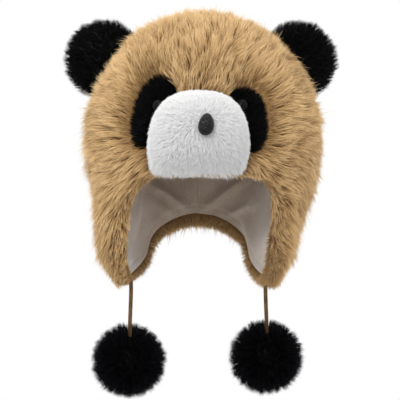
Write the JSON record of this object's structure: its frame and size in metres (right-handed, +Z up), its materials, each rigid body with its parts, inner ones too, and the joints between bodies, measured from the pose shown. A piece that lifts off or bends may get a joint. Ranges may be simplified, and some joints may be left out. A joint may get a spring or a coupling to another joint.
{
  "type": "plush animal earflap hat",
  "caption": "Lined earflap hat in long tan pile with round ears, eye patches, a stuffed muzzle and nose, and a pompom on a cord below each flap.",
  "frame": {"origin": "top of the hollow, on the inside of the lining, where the hat sits on a head", "axes": "+Z up, the face and muzzle look along -Y, +X to the right as seen from the front"},
  "size_m": [0.2732, 0.2963, 0.3864],
  "materials": {
    "tan_pile": "long plush pile",
    "pale_lining": "soft brushed lining",
    "black_pile": "short plush pile",
    "pompom_fur": "long loose fur",
    "white_pile": "short plush pile",
    "black_gloss": "polished",
    "brown_cord": "suede lace"
  },
  "bodies": {
    "root": {"crown_fur": "tan_pile", "ear_flap_left": "tan_pile", "ear_flap_right": "tan_pile", "crown_lining_left": "pale_lining", "crown_lining_right": "pale_lining", "flap_lining_left": "pale_lining", "flap_lining_right": "pale_lining", "ear_left": "black_pile", "ear_right": "black_pile", "eye_patch_left": "black_pile", "eye_patch_right": "black_pile", "eye_left": "black_gloss", "eye_right": "black_gloss", "muzzle": "white_pile", "nose": "black_gloss", "tie_cord_left": "brown_cord", "tie_cord_right": "brown_cord", "pompom_left": "pompom_fur", "pompom_right": "pompom_fur"}
  },
  "joints": []
}
